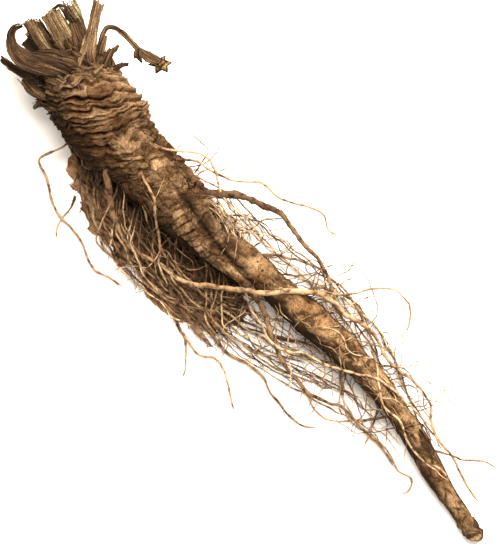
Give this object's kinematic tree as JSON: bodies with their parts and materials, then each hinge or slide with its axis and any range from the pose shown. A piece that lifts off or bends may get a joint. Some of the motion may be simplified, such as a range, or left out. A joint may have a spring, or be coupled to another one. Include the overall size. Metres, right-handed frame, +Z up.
{
  "type": "dandelion root",
  "caption": "Dried dandelion root lying on its side: folded neck, tapering taproot, side roots and rootlets, and a crown of cut leaf stalks.",
  "frame": {"origin": "on the resting plane, under the middle of the whole root's outline", "axes": "+X along the root from the crown towards the tip, +Y across it, +Z up from the resting plane"},
  "size_m": [0.1883, 0.0608, 0.0236],
  "materials": {
    "root_bark": "dry, wrinkled root bark",
    "leaf_stalk": "dry straw, fibrous",
    "withered_leaf": "dry, withered"
  },
  "bodies": {
    "root": {"taproot": "root_bark", "stalk_fan_upper": "leaf_stalk", "stalk_fan_middle": "leaf_stalk", "stalk_fan_lower": "leaf_stalk", "stalk_back_upper": "leaf_stalk", "stalk_back_lower": "leaf_stalk", "flower_stalk_stub": "leaf_stalk", "stalk_tall": "leaf_stalk", "leaf_base_scroll": "leaf_stalk", "leaf_base_flake": "leaf_stalk", "stub_pale_tip": "leaf_stalk", "stalk_under_upper": "leaf_stalk", "stalk_under_lower": "leaf_stalk", "stalk_hooked": "withered_leaf", "stalk_dark_lower": "withered_leaf", "stub_dark_upper": "withered_leaf", "stub_brown_lower": "withered_leaf"}
  },
  "joints": []
}
